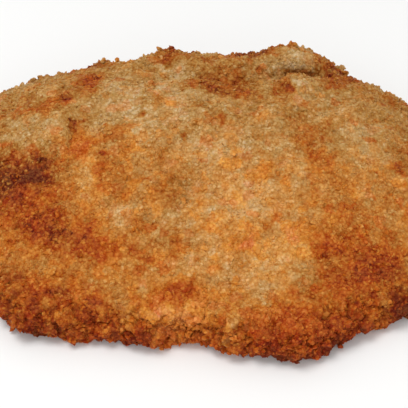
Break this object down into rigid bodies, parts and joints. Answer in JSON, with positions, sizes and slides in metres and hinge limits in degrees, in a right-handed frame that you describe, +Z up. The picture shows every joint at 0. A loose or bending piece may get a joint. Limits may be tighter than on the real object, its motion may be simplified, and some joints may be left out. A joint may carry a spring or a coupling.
{
  "type": "fried breaded schnitzel",
  "caption": "Thick fried breaded schnitzel: thin plump front rim, high back folded into a lip with a valley, coarse browned crumb crust, flat underside.",
  "frame": {"origin": "under the middle of the bounding box, on the surface that the schnitzel lies on", "axes": "+X along the schnitzel, towards its right end; +Y from its thin front rim to its thick back lip; +Z up"},
  "size_m": [0.1596, 0.1222, 0.0281],
  "materials": {
    "crust": "browned fried breadcrumbs, matte with a faint gloss of oil"
  },
  "bodies": {
    "root": {"schnitzel": "crust"}
  },
  "joints": []
}
